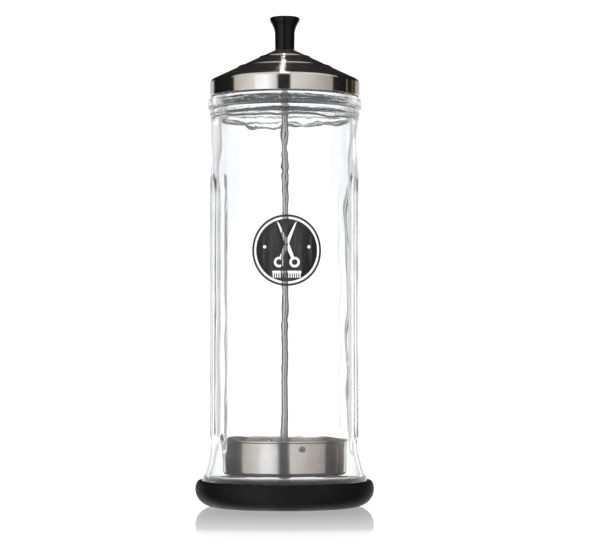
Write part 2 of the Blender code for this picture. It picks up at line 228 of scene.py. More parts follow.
def add_node(tree, kind, inputs=None, **settings):
    """A node with its settings, and its inputs as values or as sockets to link."""
    made = tree.nodes.new(kind)
    for key, value in settings.items():
        setattr(made, key, value)
    for key, value in (inputs or {}).items():
        if isinstance(value, bpy.types.NodeSocket):
            tree.links.new(value, made.inputs[key])
        else:
            made.inputs[key].default_value = value
    return made


def math_node(tree, operation, *values):
    return add_node(tree, "ShaderNodeMath", dict(enumerate(values)), operation=operation).outputs[0]


def product(tree, first, *others):
    for other in others:
        first = math_node(tree, "MULTIPLY", first, other)
    return first


def one_minus(tree, value):
    return math_node(tree, "SUBTRACT", 1.0, value)


def vector_math(tree, operation, *values, output="Vector"):
    inputs = dict(enumerate(values))
    return add_node(tree, "ShaderNodeVectorMath", inputs, operation=operation).outputs[output]


def map_range(tree, value, low, high, to_low=0.0, to_high=1.0, kind="SMOOTHSTEP"):
    inputs = {"Value": value, "From Min": low, "From Max": high, "To Min": to_low, "To Max": to_high}
    return add_node(tree, "ShaderNodeMapRange", inputs, interpolation_type=kind).outputs["Result"]


def grey(value):
    return (value, value, value)


def opaque(color):
    """A color's four channels, or the socket that gives it."""
    return color if isinstance(color, bpy.types.NodeSocket) else (*color, 1.0)


def mix_colors(tree, factor, first, second):
    inputs = {MIX_FACTOR: factor, MIX_FIRST: opaque(first), MIX_SECOND: opaque(second)}
    return add_node(tree, "ShaderNodeMix", inputs, data_type="RGBA").outputs[MIX_RESULT]


def ramp(tree, factor, stops):
    """A color ramp from its stops, each a place from 0 to 1 and a color."""
    made = add_node(tree, "ShaderNodeValToRGB", {"Fac": factor})
    elements = made.color_ramp.elements
    while len(elements) > 1:
        elements.remove(elements[-1])
    elements[0].position = stops[0][0]
    elements[0].color = opaque(stops[0][1])
    for position, color in stops[1:]:
        elements.new(position).color = opaque(color)
    return made.outputs["Color"]


# ---------------------------------------------------------------- materials

class Material:
    """A Principled material with its node tree at hand."""

    def __init__(self, name, color, roughness, metallic=0.0, **sockets):
        self.material = bpy.data.materials.new(name)
        self.material.use_nodes = True
        self.tree = self.material.node_tree
        self.shader = self.tree.nodes["Principled BSDF"]
        self.shader.inputs["Base Color"].default_value = opaque(color)
        self.shader.inputs["Roughness"].default_value = roughness
        self.shader.inputs["Metallic"].default_value = metallic
        for socket, value in sockets.items():
            self.shader.inputs[socket.replace("_", " ")].default_value = value

    def node(self, kind, inputs=None, **settings):
        return add_node(self.tree, kind, inputs, **settings)

    def link(self, source, socket):
        self.tree.links.new(source, self.shader.inputs[socket])

    def bump(self, height, strength, distance):
        inputs = {"Height": height, "Strength": strength, "Distance": distance}
        self.link(self.node("ShaderNodeBump", inputs).outputs["Normal"], "Normal")

    def vary_roughness(self, pattern, low, high):
        """Spread the middle of a noise pattern over a range of roughness."""
        self.link(map_range(self.tree, pattern, 0.3, 0.7, low, high), "Roughness")


def noise(mat, vector, scale, detail=2.0, roughness=0.5):
    inputs = {"Vector": vector, "Scale": scale, "Detail": detail, "Roughness": roughness}
    return mat.node("ShaderNodeTexNoise", inputs).outputs["Fac"]


def object_point(mat):
    return mat.node("ShaderNodeTexCoord").outputs["Object"]


def squeezed_noise(mat, squeeze, scale, detail):
    """Noise drawn out along the axis by a squeeze below 1, and flattened by one above 1."""
    inputs = {"Vector": object_point(mat), "Scale": (1.0, 1.0, squeeze)}
    return noise(mat, mat.node("ShaderNodeMapping", inputs).outputs["Vector"], scale, detail)


def turning_coordinates(mat):
    """Distance from the axis, height, and the angle about the axis, for turned lines."""
    point = mat.node("ShaderNodeSeparateXYZ", {"Vector": object_point(mat)})
    x, y, z = (point.outputs[k] for k in "XYZ")
    squares = math_node(mat.tree, "ADD", product(mat.tree, x, x), product(mat.tree, y, y))
    return math_node(mat.tree, "SQRT", squares), z, math_node(mat.tree, "ARCTAN2", y, x)


def turned_lines(mat, across, around):
    """Fine lines that run round the axis, broken here and there along their length.

    across is about how many lie in a metre, around how often they break.
    """
    radius, height, angle = turning_coordinates(mat)
    vector = mat.node("ShaderNodeCombineXYZ", {
        "X": product(mat.tree, math_node(mat.tree, "ADD", radius, height), across),
        "Y": product(mat.tree, math_node(mat.tree, "SINE", angle), around),
        "Z": product(mat.tree, math_node(mat.tree, "COSINE", angle), around),
    })
    return noise(mat, vector.outputs["Vector"], 1.0, detail=3.0, roughness=0.6)


def inner_side_for_painted_shade(mat):
    """1 on the faces of a turned shell that look inward or down, else 0: where painted shade goes."""
    normal = mat.node("ShaderNodeNewGeometry").outputs["Normal"]
    outward = vector_math(mat.tree, "MULTIPLY", object_point(mat), (1.0, 1.0, 0.0))
    outward = vector_math(mat.tree, "NORMALIZE", outward)
    out_and_up = vector_math(mat.tree, "ADD", outward, (0.0, 0.0, 1.0))
    facing = vector_math(mat.tree, "DOT_PRODUCT", normal, out_and_up, output="Value")
    return math_node(mat.tree, "LESS_THAN", facing, 0.0)


def steel(name, color, roughness, spread, anisotropy, across=9000.0, strength=0.05, inside=None):
    """Stainless steel with turned lines.

    spread is how much the lines vary the roughness, inside a dark color painted on a shell's inner side
    as painted shade, in place of the shade that falls there.
    """
    mat = Material(name, color, roughness, 1.0, Anisotropic=anisotropy, Anisotropic_Rotation=0.25)
    tangent = mat.node("ShaderNodeTangent", direction_type="RADIAL", axis="Z")
    mat.link(tangent.outputs["Tangent"], "Tangent")
    lines = turned_lines(mat, across, 3.0)
    mat.vary_roughness(lines, roughness - spread, roughness + spread)
    patches = map_range(mat.tree, noise(mat, object_point(mat), 55.0, detail=4.0), 0.3, 0.7)
    darker = [c * 0.93 for c in color]
    lighter = [c * 1.05 for c in color]
    tint = mix_colors(mat.tree, patches, darker, lighter)
    # Painted shade: faces that look inward or down get the darker inside color.
    if inside:
        tint = mix_colors(mat.tree, inner_side_for_painted_shade(mat), tint, inside)
    mat.link(tint, "Base Color")
    mat.bump(lines, strength, 0.02 * MM)
    return mat.material


def clear_glass():
    """Clear glass with slight ripples, wavy panels and level streaks on its neck."""
    mat = Material("clear_glass", (0.985, 0.992, 0.990), 0.0, IOR=1.5, Transmission_Weight=1.0)
    place = mat.node("ShaderNodeSeparateXYZ", {"Vector": object_point(mat)})
    across = math_node(mat.tree, "ABSOLUTE", place.outputs["X"])
    height = place.outputs["Z"]
    ripples = product(mat.tree, squeezed_noise(mat, 0.45, 70.0, 1.0), 0.14)
    on_panels = map_range(mat.tree, across, 16.0 * MM, 30.0 * MM, 1.0, 0.0)
    upper = map_range(mat.tree, height, 60.0 * MM, 190.0 * MM, 0.25, 0.7)
    waves = product(mat.tree, squeezed_noise(mat, 0.8, 75.0, 2.0), on_panels, upper)
    on_neck = map_range(mat.tree, height, 230.0 * MM, 236.0 * MM)
    streaks = product(mat.tree, squeezed_noise(mat, 9.0, 90.0, 3.0), on_neck, 0.3)
    relief = math_node(mat.tree, "ADD", math_node(mat.tree, "ADD", ripples, waves), streaks)
    mat.bump(relief, 0.7, 1.0 * MM)
    return mat.material


def boot_rubber():
    mat = Material("boot_rubber", (0.004, 0.004, 0.0042), 0.5, Specular_IOR_Level=0.22)
    grain = noise(mat, object_point(mat), 900.0, detail=3.0)
    mat.vary_roughness(noise(mat, object_point(mat), 35.0, detail=4.0), 0.46, 0.64)
    mat.bump(grain, 0.25, 0.08 * MM)
    return mat.material


def knob_plastic():
    mat = Material("knob_plastic", (0.005, 0.005, 0.0065), 0.12, Specular_IOR_Level=0.2)
    mat.vary_roughness(noise(mat, object_point(mat), 160.0, detail=4.0), 0.08, 0.2)
    mat.bump(noise(mat, object_point(mat), 300.0, detail=1.0), 0.08, 0.05 * MM)
    return mat.material


def badge_print():
    mat = Material("badge_print", (0.030, 0.030, 0.033), 0.42)
    patches = noise(mat, object_point(mat), 260.0, detail=5.0, roughness=0.65)
    tones = ((0.3, (0.022, 0.022, 0.025)), (0.75, (0.048, 0.047, 0.050)))
    mat.link(ramp(mat.tree, patches, tones), "Base Color")
    mat.bump(patches, 0.1, 0.02 * MM)
    return mat.material


def insert_brass():
    mat = Material("insert_brass", (0.72, 0.50, 0.20), 0.3, 1.0)
    lines = turned_lines(mat, 6000.0, 2.0)
    mat.vary_roughness(lines, 0.22, 0.42)
    mat.bump(lines, 0.08, 0.02 * MM)
    return mat.material


# ---------------------------------------------------------------- glass jar

PATTERN_TURN = math.radians(5.0)    # the pressed pattern is turned this far from the front
RIDGE_STEP = math.radians(16.5)     # from one ridge between two flutes to the next
FLUTES_A_SIDE = 4
HALF_PANEL = math.pi / 2 - RIDGE_STEP * FLUTES_A_SIDE / 2
FLUTE_DEPTH = 0.75 * MM
FLUTE_TOOL_R = 77.0 * MM            # radius of the tool that presses a flute
NO_FLUTE = 10.0 * MM                # a limit this far outside the wall cuts nothing
RIDGE_ROUND = 0.16 * MM
FLUTE_TOP = 199.5 * MM
FLUTE_BOTTOM = 38.5 * MM
PANEL_DEPTH = 0.4 * MM
PANEL_TOP = 199.5 * MM
PANEL_BOTTOM = 35.0 * MM
PANEL_FADE = 1.0 * MM
PANEL_SIDE_FADE = math.radians(1.6)
PATTERN_ZONE = (30.0 * MM, 232.0 * MM)  # heights between which the outside is pressed
FLUTE_COLUMNS = 20                  # columns of faces over one flute
PANEL_COLUMNS = 56

GLASS_WALL_R = 45.3 * MM
BORE_R = 41.2 * MM
NECK_R = 44.2 * MM
NECK_BORE_R = 40.0 * MM
NECK_Z = 246.95 * MM                # where the neck meets the bead
LIP_TOP_R = 42.4 * MM
LIP_ROUND = 1.6 * MM
SHOULDER_Z = 234.0 * MM
SHOULDER_HALF = 0.5 * MM
SHOULDER_ROUND = 0.6 * MM
FLARE_TOP = 37.0 * MM
FLARE_BOTTOM = 12.0 * MM
FLARE_POWER = 1.4
FLARE_WALL = 3.2 * MM
GLASS_FLOOR = 15.7 * MM
FOOT_ROUND = 4.0 * MM
PUNT_R = 36.0 * MM                  # hollow under the glass
PUNT_TOP_R = 33.0 * MM
PUNT = 1.5 * MM

# Waves of the inside: strength, number round the axis, turn in 100 mm of height, phase
BORE_WAVE = 0.13 * MM
BORE_WAVES = ((0.5, 5, 11.0, 0.6), (0.3, 9, -7.0, 2.0), (0.25, 14, 17.0, 0.0), (0.3, 2, 23.0, 1.0))
BORE_WAVE_RISE = (24.0 * MM, 45.0 * MM)
BORE_WAVE_FALL = (236.0 * MM, 250.0 * MM)
SHOULDER_WAVE = 1.0 * MM
SHOULDER_WAVES = ((0.5, 2, 0.0, 0.8), (0.5, 5, 0.0, 2.1), (0.35, 9, 0.0, 0.3), (0.2, 17, 0.0, 1.0))
SHOULDER_WAVE_RISE = (215.0 * MM, 230.0 * MM)
SHOULDER_WAVE_FALL = (241.0 * MM, 250.0 * MM)


def flare_radius(z, foot_r):
    """Outer radius of the glass where it widens towards its foot."""
    t = np.clip((FLARE_TOP - z) / (FLARE_TOP - FLARE_BOTTOM), 0.0, 1.0)
    return GLASS_WALL_R + (foot_r - GLASS_WALL_R) * t ** FLARE_POWER


def glass_turns():
    """Angles about the axis, close together over the flutes and wide over the panels."""
    turns = []
    for side in (0, 1):
        start = side * math.pi + HALF_PANEL
        turns += [start + RIDGE_STEP * k / FLUTE_COLUMNS for k in range(FLUTES_A_SIDE * FLUTE_COLUMNS)]
        start += RIDGE_STEP * FLUTES_A_SIDE
        turns += [start + 2 * HALF_PANEL * k / PANEL_COLUMNS for k in range(PANEL_COLUMNS)]
    front = -math.pi / 2
    return [front + PATTERN_TURN + t for t in turns]


def flute_limit(turn, height):
    """Radius that the flutes leave, where they cut, at an angle from the pattern's front."""
    reach = GLASS_WALL_R - FLUTE_DEPTH + FLUTE_TOOL_R
    end = math.sqrt(FLUTE_TOOL_R ** 2 - (reach - GLASS_WALL_R) ** 2)
    above = np.maximum(height - (FLUTE_TOP - end), 0.0)
    below = np.maximum(FLUTE_BOTTOM + end - height, 0.0)
    section = FLUTE_TOOL_R ** 2 - (above + below) ** 2
    limit = np.full(np.broadcast_shapes(turn.shape, height.shape), np.inf)
    for side in (-1, 1):
        for i in range(FLUTES_A_SIDE):
            centre = side * math.pi / 2 + (i - (FLUTES_A_SIDE - 1) / 2) * RIDGE_STEP
            off = (turn - centre + math.pi) % math.tau - math.pi
            under = section - (reach * np.sin(off)) ** 2
            cut = reach * np.cos(off) - np.sqrt(np.maximum(under, 0.0))
            limit = np.where((under > 0.0) & (np.abs(off) < RIDGE_STEP), np.minimum(limit, cut), limit)
    return limit


def waving(waves, angles, height):
    return sum(strength * np.sin(count * angles + climb * height / (100 * MM) + phase)
               for strength, count, climb, phase in waves)


def glass_warp(inner_rows):
    """Press the flutes and panels into the outside, and let the inside wave a little."""
    def warp(radius, height, angles):
        turn = (angles[None, :] + math.pi / 2 - PATTERN_TURN + math.pi) % math.tau - math.pi
        outside = np.arange(len(radius))[:, None] >= inner_rows
        patterned = outside & (height > PATTERN_ZONE[0]) & (height < PATTERN_ZONE[1])
        from_front = np.minimum(np.abs(turn), math.pi - np.abs(turn))
        inset = window(height, (PANEL_BOTTOM - 3 * PANEL_FADE, PANEL_BOTTOM + PANEL_FADE),
                       (PANEL_TOP - PANEL_FADE, PANEL_TOP + PANEL_FADE))
        inset = inset * (1.0 - smoothstep(HALF_PANEL - PANEL_SIDE_FADE, HALF_PANEL, from_front))
        limit = np.minimum(flute_limit(turn, height), radius + NO_FLUTE)
        pressed = soft_min(radius - inset * PANEL_DEPTH, limit, RIDGE_ROUND)
        radius = np.where(patterned, pressed, radius)

        wave = waving(BORE_WAVES, angles, height) * window(height, BORE_WAVE_RISE, BORE_WAVE_FALL)
        lift = waving(SHOULDER_WAVES, angles, height)
        lift = lift * window(height, SHOULDER_WAVE_RISE, SHOULDER_WAVE_FALL)
        radius = np.where(outside, radius, radius + BORE_WAVE * wave)
        height = np.where(outside, height, height + SHOULDER_WAVE * lift)
        return radius, height
    return warp


def build_glass(material):
    low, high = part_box("glass_jar")
    foot_r = high.x
    floor_round, flare_start, flare_end = 1.6 * MM, GLASS_FLOOR + 2.2 * MM, FLARE_TOP - 1.0 * MM
    bore_flare = [(max(BORE_R, flare_radius(z, foot_r) - FLARE_WALL), z)
                  for z in np.linspace(flare_start, flare_end, 18)]
    inside = rounded([
        (0.0, GLASS_FLOOR, 0.0),
        (bore_flare[0][0], GLASS_FLOOR, floor_round),
        *((r, z, 0.0) for r, z in bore_flare),
        (BORE_R, SHOULDER_Z - SHOULDER_HALF, SHOULDER_ROUND),
        (NECK_BORE_R, SHOULDER_Z + SHOULDER_HALF, SHOULDER_ROUND),
        (NECK_BORE_R, high.z, LIP_ROUND),
        (LIP_TOP_R, high.z, 0.0),
    ])
    outside = rounded([
        (LIP_TOP_R, high.z, 0.0),
        (NECK_R, high.z, LIP_ROUND),
        (NECK_R, NECK_Z, 0.0),
    ])[1:]
    outside += swelling(core=44.0 * MM, outer=46.9 * MM, middle=243.4 * MM, half=3.5 * MM,
                        start=90, end=-66, power=3.8)
    outside += swelling(core=44.3 * MM, outer=45.8 * MM, middle=237.6 * MM, half=2.2 * MM,
                        start=58, end=-50, power=2.2)
    wall = [(GLASS_WALL_R - 0.03 * MM, 234.9 * MM), (GLASS_WALL_R, 233.4 * MM)]
    wall += [(flare_radius(z, foot_r), z) for z in np.linspace(FLARE_TOP, FLARE_BOTTOM, 24)]
    outside += [np.array(p) for p in wall]
    foot = rounded([
        (foot_r, FLARE_BOTTOM, 0.0),
        (foot_r, low.z, FOOT_ROUND),
        (PUNT_R, low.z, 1.0 * MM),
        (PUNT_TOP_R, low.z + PUNT, 2.0 * MM),
        (0.0, low.z + PUNT, 0.0),
    ])[1:]
    inside = densify(inside, 2.5 * MM)
    outline = inside + densify(outside, 2.0 * MM) + foot
    warp = glass_warp(len(inside) - 1)
    jar = revolve("fluted_glass", outline, glass_turns(), closed=False, warp=warp)
    return stand_for(jar, "glass_jar", material)


# ---------------------------------------------------------------- rubber boot

def build_boot(material):
    low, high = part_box("base_boot")
    glass_low, glass_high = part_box("glass_jar")
    gap = 0.3 * MM
    widest_r, widest_z = high.x, 10.6 * MM
    lip_r, foot_r = 51.4 * MM, 42.5 * MM
    inner_r, inner_top = glass_high.x + gap, 12.2 * MM
    grip_r = flare_radius(high.z, glass_high.x) + 0.4 * MM
    floor_z = glass_low.z - gap
    recess_r, recess_z = 29.0 * MM, 1.2 * MM
    profile = rounded([
        (0.0, floor_z, 0.0),
        (inner_r, floor_z, 4.3 * MM),
        (inner_r, inner_top, 1.5 * MM),
        (grip_r, high.z - 0.3 * MM, 0.3 * MM),
        (grip_r + 0.4 * MM, high.z, 0.3 * MM),
        (lip_r, high.z, 0.0),
    ])
    profile += swelling(lip_r, widest_r, widest_z, high.z - widest_z, 86, 0, steps=13)
    profile += swelling(foot_r, widest_r, widest_z, widest_z - low.z, -4, -90, steps=23)
    profile += rounded([
        (foot_r, low.z, 0.0),
        (recess_r + recess_z, low.z, 0.5 * MM),
        (recess_r, recess_z, 0.5 * MM),
        (0.0, recess_z, 0.0),
    ])[1:]
    return stand_for(revolve("rubber_boot", profile, closed=False), "base_boot", material)


# ---------------------------------------------------------------- lid, knob and insert

def build_lid(material):
    low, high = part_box("lid_shell")
    radius, thickness = high.x, 0.8 * MM
    seat_r, slope = 6.3 * MM, 0.479
    rings, ring_half, ring_height = (15.1 * MM, 28.3 * MM), 0.8 * MM, 0.42 * MM
    cone_foot_z = high.z - slope * (radius - seat_r)
    path = densify(rounded([
        (ROD_HOLE_R, high.z, 0.0),
        (seat_r, high.z, 0.8 * MM),
        (radius, cone_foot_z, 2.8 * MM),
        (radius, low.z + 0.3 * MM, 0.0),
    ]), 0.25 * MM)
    length = math.hypot(1.0, slope)
    raised = []
    for r, z in path:
        lift = 0.0
        for ring in rings:
            off = min(abs(r - ring) / ring_half, 1.0)
            lift += ring_height * math.cos(off * math.pi / 2) ** 1.5
        raised.append(np.array((r + lift * slope / length, z + lift / length)))
    hem_r = radius - thickness - 0.2 * MM
    hem_top = 250.1 * MM
    edge = 0.25 * MM
    hem = [
        (radius - 0.05 * MM, low.z + 0.12 * MM), (radius - 0.2 * MM, low.z),
        (radius - 0.5 * MM, low.z), (hem_r + edge, low.z), (hem_r, low.z + edge),
        (hem_r, hem_top), (hem_r + 0.2 * MM, hem_top + 0.15 * MM),
    ]
    inner = [p for p in sheet(raised, thickness)[len(raised):] if p[1] > hem_top + 0.2 * MM]
    profile = raised + [np.array(p) for p in hem] + inner
    return stand_for(revolve("lid_spun", profile), "lid_shell", material)


def build_knob(material):
    low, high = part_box("knob")
    rim_r = high.x
    stem_r, waist_r, waist_z = 5.9 * MM, 6.05 * MM, 286.0 * MM
    edge = 1.4 * MM
    cove_r, cove_z = rim_r - 0.15 * MM, high.z - 2.5 * MM
    profile = [np.array(p) for p in (
        (0.0, high.z - 0.3 * MM),
        (rim_r * 0.6, high.z - 0.1 * MM),
        (rim_r - edge - 0.4 * MM, high.z),
    )]
    profile += arc((rim_r - edge, high.z - edge), edge, 84, -30, 14)
    # A hollow curve from under the rim down to the waist
    for t in np.linspace(0.96, 0.0, 26):
        profile.append(np.array((waist_r + (cove_r - waist_r) * t * t, waist_z + (cove_z - waist_z) * t)))
    socket_r = 3.9 * MM
    socket_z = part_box("knob_insert")[1].z + 0.3 * MM
    profile += rounded([
        (waist_r, waist_z - 0.5 * MM, 0.0),
        (stem_r, low.z, 0.3 * MM),
        (socket_r, low.z, 0.2 * MM),
        (socket_r, socket_z, 0.3 * MM),
        (0.0, socket_z, 0.0),
    ])[1:]
    piece = revolve("knob_turned", profile, SMALL_STEPS * 2, closed=False)
    return stand_for(piece, "knob", material)


def build_insert(material):
    """The knurled brass sleeve inside the knob."""
    low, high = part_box("knob_insert")
    knurls, knurl_depth = 24, 0.18 * MM
    outer, chamfer = high.x, 0.4 * MM
    profile = [
        (outer - chamfer, high.z), (outer, high.z - chamfer),
        (outer, low.z + chamfer), (outer - chamfer, low.z),
        (ROD_HOLE_R, low.z), (ROD_HOLE_R, high.z),
    ]

    def knurl(radius, height, angles):
        groove = knurl_depth * (0.5 - 0.5 * np.cos(knurls * angles))[None, :]
        return np.where(radius > outer - SKIN, radius - groove, radius), height

    piece = revolve("insert_knurled", densify(profile, 0.8 * MM), knurls * 8, warp=knurl)
    return stand_for(piece, "knob_insert", material)


# ---------------------------------------------------------------- rod, nuts and washers

THREAD_PITCH = 0.7 * MM
THREAD_DEPTH = 0.38 * MM
THREAD_ROWS = 8                 # rows of faces over one pitch


def build_rod(material):
    """A drawn rod with a rolled thread at each end."""
    low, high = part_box("lift_rod")
    radius, chamfer = high.x, 0.35 * MM
    bottom, top = low.z + chamfer, high.z - chamfer
    spans = ((bottom, 28.0 * MM), (269.0 * MM, top))
    profile = [(0.0, high.z), (radius - chamfer, high.z)]
    z = top
    while z > bottom:
        profile.append((radius, z))
        threaded = any(a - THREAD_PITCH < z <= b + THREAD_PITCH for a, b in spans)
        z -= THREAD_PITCH / THREAD_ROWS if threaded else 4.0 * MM
    profile += [(radius, bottom), (radius - chamfer, low.z), (0.0, low.z)]

    def thread(r, z, angles):
        phase = (z / THREAD_PITCH - angles[None, :] / math.tau) % 1.0
        triangle = 1.0 - np.abs(2.0 * phase - 1.0)
        groove = THREAD_DEPTH * np.clip(1.4 * triangle - 0.2, 0.0, 1.0)
        inside = np.zeros_like(z)
        for a, b in spans:
            inside = np.maximum(inside, window(z, (a - 0.3 * MM, a + 0.3 * MM), (b - 0.8 * MM, b)))
        return np.where(r > radius - SKIN, r - groove * inside, r), z

    piece = revolve("rod_threaded", profile, 48, closed=False, warp=thread)
    return stand_for(piece, "lift_rod", material)


def build_washer(name, node, material):
    low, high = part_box(node)
    edge = 0.12 * MM
    corners = ((high.x, high.z), (high.x, low.z), (ROD_HOLE_R, low.z), (ROD_HOLE_R, high.z))
    profile = rounded([(r, z, edge) for r, z in corners], closed=True)
    return stand_for(revolve(name, profile, SMALL_STEPS), node, material)


def build_nut(name, node, material):
    """A hexagon nut whose corners are turned off at both faces."""
    low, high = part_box(node)
    wide, deep = high.x - low.x, high.y - low.y
    half = min(wide, deep) / 2
    corner = half / math.cos(math.pi / 6)
    corner_turn = 0.0 if wide > deep else math.pi / 6
    slope = math.tan(math.radians(60.0))
    face_r = half * 0.96
    rows = 7    # of faces down the chamfer, where it runs into the flats in a curve
    drop = (corner - face_r) / slope / rows
    top = [(face_r + slope * drop * k, high.z - drop * k) for k in range(rows + 1)]
    bottom = [(r, low.z + high.z - z) for r, z in reversed(top)]
    edge = 0.3 * MM
    bore = [(ROD_HOLE_R + edge, low.z), (ROD_HOLE_R, low.z + edge),
            (ROD_HOLE_R, high.z - edge), (ROD_HOLE_R + edge, high.z)]

    def hexagon(radius, height, angles):
        side = (angles - corner_turn) % (math.pi / 3) - math.pi / 6
        return np.minimum(radius, (half / np.cos(side))[None, :]), height

    piece = revolve(name, top + bottom + bore, SMALL_STEPS, warp=hexagon)
    return stand_for(piece, node, material)


# ---------------------------------------------------------------- pan

def build_pan(material):
    """A drawn cup with a curled rim, drain holes in its side and in its floor."""
    low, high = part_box("pan")
    sheet_t, corner = 0.7 * MM, 2.5 * MM
    curl_r = 0.75 * MM
    foot_r, top_r = 37.3 * MM, 37.7 * MM
    rim = arc((high.x - curl_r, high.z - curl_r), curl_r, 180, -120, 26)
    outer = rounded([
        (top_r, high.z - 2 * curl_r - 0.2 * MM, 0.0),
        (foot_r, low.z, corner),
        (ROD_HOLE_R, low.z, 0.0),
    ])
    inner = rounded([
        (ROD_HOLE_R, low.z + sheet_t, 0.0),
        (foot_r - sheet_t, low.z + sheet_t, corner - sheet_t),
        (high.x - 2 * curl_r, high.z - curl_r - 0.2 * MM, 0.0),
    ])
    pan = revolve("pan_drawn", rim + outer + inner)
    side_holes = drain_holes(4, radius=2.1 * MM, reach=37.0 * MM, z=35.8 * MM, tilt=math.pi / 2)
    floor_holes = drain_holes(6, radius=2.5 * MM, reach=22.0 * MM, z=low.z, tilt=0.0)
    for tool in side_holes + floor_holes:
        punch(pan, tool)
    shade(pan.data)
    return stand_for(pan, "pan", material)


def drain_holes(count, radius, reach, z, tilt):
    """Cylinders for a ring of holes about the axis, upright or tilted to point at it."""
    front = -math.pi / 2
    first = front + math.radians(16.0)
    tools = []
    for i in range(count):
        a = first + i * math.tau / count
        place = (reach * math.cos(a), reach * math.sin(a), z)
        bpy.ops.mesh.primitive_cylinder_add(vertices=40, radius=radius, depth=8 * MM, location=place,
                                            rotation=(0.0, tilt, a))
        tools.append(bpy.context.active_object)
    return tools


def punch(piece, tool):
    """Cut the tool out of the piece and remove the tool."""
    cut = piece.modifiers.new("hole", "BOOLEAN")
    cut.operation = "DIFFERENCE"
    cut.solver = "EXACT"
    cut.object = tool
    bpy.context.view_layer.update()
    evaluated = piece.evaluated_get(bpy.context.evaluated_depsgraph_get())
    mesh = bpy.data.meshes.new_from_object(evaluated)
    piece.modifiers.clear()
    piece.data = mesh
    bpy.data.objects.remove(tool, do_unlink=True)


# ---------------------------------------------------------------- badge

# The drawing, in millimetres from the badge's middle. The CAD node sets its real size.
BADGE_R = 21.0
BADGE_TURN = math.radians(2.0)
BORDER_GAP = 1.3                    # width of the border, and of the clear ring inside it
BLADE = [(-0.9, -9.0), (0.9, -9.0), (1.5, 0.0), (0.9, 13.5), (0.2, 15.0), (-0.9, 0.0)]
BLADE_SPREAD = math.radians(24.0)
PIVOT_Y, PIVOT_R = 3.2, 0.75
HANDLE_DROP = 11.2                  # from the pivot to the middle of a finger ring
HANDLE_R, HANDLE_HOLE_R = 3.1, 1.7
COMB_Y = -13.6                      # where the comb's teeth meet its back
DOT_X, DOT_Y, DOT_R = 13.2, 2.0, 1.0
SLICE = 1.5                         # the film is cut into strips that bend round the glass
SLICE_OFFSET = 0.013                # which keeps the cuts off the outlines' own points

FILM_GAP = 0.04 * MM                # between the glass and the print
FILM_THICKNESS = 0.10 * MM


def circle(x, y, radius, count):
    turns = [math.tau * k / count for k in range(count)]
    return [(x + radius * math.cos(a), y + radius * math.sin(a)) for a in turns]


def moved(outline, angle, y):
    """The outline turned about its origin and then raised."""
    c, s = math.cos(angle), math.sin(angle)
    return [(c * u - s * v, y + s * u + c * v) for u, v in outline]


def anticlockwise(outline):
    area = sum(a[0] * b[1] - b[0] * a[1] for a, b in zip(outline, outline[1:] + outline[:1]))
    return outline if area > 0 else outline[::-1]


def comb_outline(length, back, tooth, teeth):
    """A comb with its teeth down, as one outline."""
    pitch = length / teeth
    points = [(-length / 2, back), (-length / 2, 0.0)]
    for i in range(teeth):
        left = -length / 2 + (i + 0.18) * pitch
        right = left + pitch / 2
        points += [(left, 0.0), (left, -tooth), (right, -tooth), (right, 0.0)]
    return points + [(length / 2, 0.0), (length / 2, back)]


def badge_outlines():
    """Named outlines: a border, a field, and what is left clear or printed in the field."""
    shapes = {
        "border": circle(0.0, 0.0, BADGE_R, 144),
        "gap": circle(0.0, 0.0, BADGE_R - BORDER_GAP, 140),
        "field": circle(0.0, 0.0, BADGE_R - 2 * BORDER_GAP, 132),
        "pivot": circle(0.0, PIVOT_Y, PIVOT_R, 20),
        "comb": moved(comb_outline(length=17.0, back=1.5, tooth=2.6, teeth=13), 0.0, COMB_Y),
        "dot_left": circle(-DOT_X, DOT_Y, DOT_R, 20),
        "dot_right": circle(DOT_X, DOT_Y, DOT_R, 20),
    }
    for name, side in (("left", 1), ("right", -1)):
        blade = [(side * x, y) for x, y in BLADE]
        shapes[f"blade_{name}"] = moved(blade, side * BLADE_SPREAD, PIVOT_Y)
        handle = moved([(0.0, -HANDLE_DROP)], side * BLADE_SPREAD, PIVOT_Y)[0]
        shapes[f"handle_{name}"] = circle(*handle, HANDLE_R, 40)
        shapes[f"hole_{name}"] = circle(*handle, HANDLE_HOLE_R, 32)
    return {name: anticlockwise(outline) for name, outline in shapes.items()}


def is_printed(names):
    """True for a face with print on it, from the names of the outlines that it lies in."""
    if any(name.startswith(("hole", "pivot")) for name in names):
        return True
    if any(name.startswith(("blade", "handle", "comb", "dot")) for name in names):
        return False
    return "field" in names or "gap" not in names


def build_badge(material):
    """A generic print of scissors and a comb, cut as one film and wrapped on the panel."""
    low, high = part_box("front_label")
    shapes = badge_outlines()
    verts, faces = [], []
    for outline in shapes.values():
        faces.append(list(range(len(verts), len(verts) + len(outline))))
        verts += [Vector(p) for p in outline]
    reach = BADGE_R + 1.0
    edges = []
    for x in np.arange(-reach, reach, SLICE) + SLICE_OFFSET:
        edges.append((len(verts), len(verts) + 1))
        verts += [Vector((x, -reach)), Vector((x, reach))]
    flat, _, triangles, _, _, sources = geometry.delaunay_2d_cdt(verts, edges, faces, 0, 1e-5)
    names = list(shapes)
    kept = [t for t, s in zip(triangles, sources) if s and is_printed({names[k] for k in s})]
    used = sorted({i for t in kept for i in t})
    place = {old: new for new, old in enumerate(used)}
    scale = (high.z - low.z) / 2 / BADGE_R
    panel_r = GLASS_WALL_R - PANEL_DEPTH + FILM_GAP
    middle_z = (low.z + high.z) / 2
    wrapped = []
    for i in used:
        x, y = flat[i]
        a = BADGE_TURN + x * scale / panel_r
        wrapped.append((panel_r * math.sin(a), -panel_r * math.cos(a), middle_z + y * scale))
    film = finish_mesh("badge_film", wrapped, [[place[i] for i in t] for t in kept])
    thick = film.modifiers.new("film", "SOLIDIFY")
    thick.thickness = FILM_THICKNESS
    thick.offset = 1.0
    return stand_for(film, "front_label", material)


# ---------------------------------------------------------------- stage

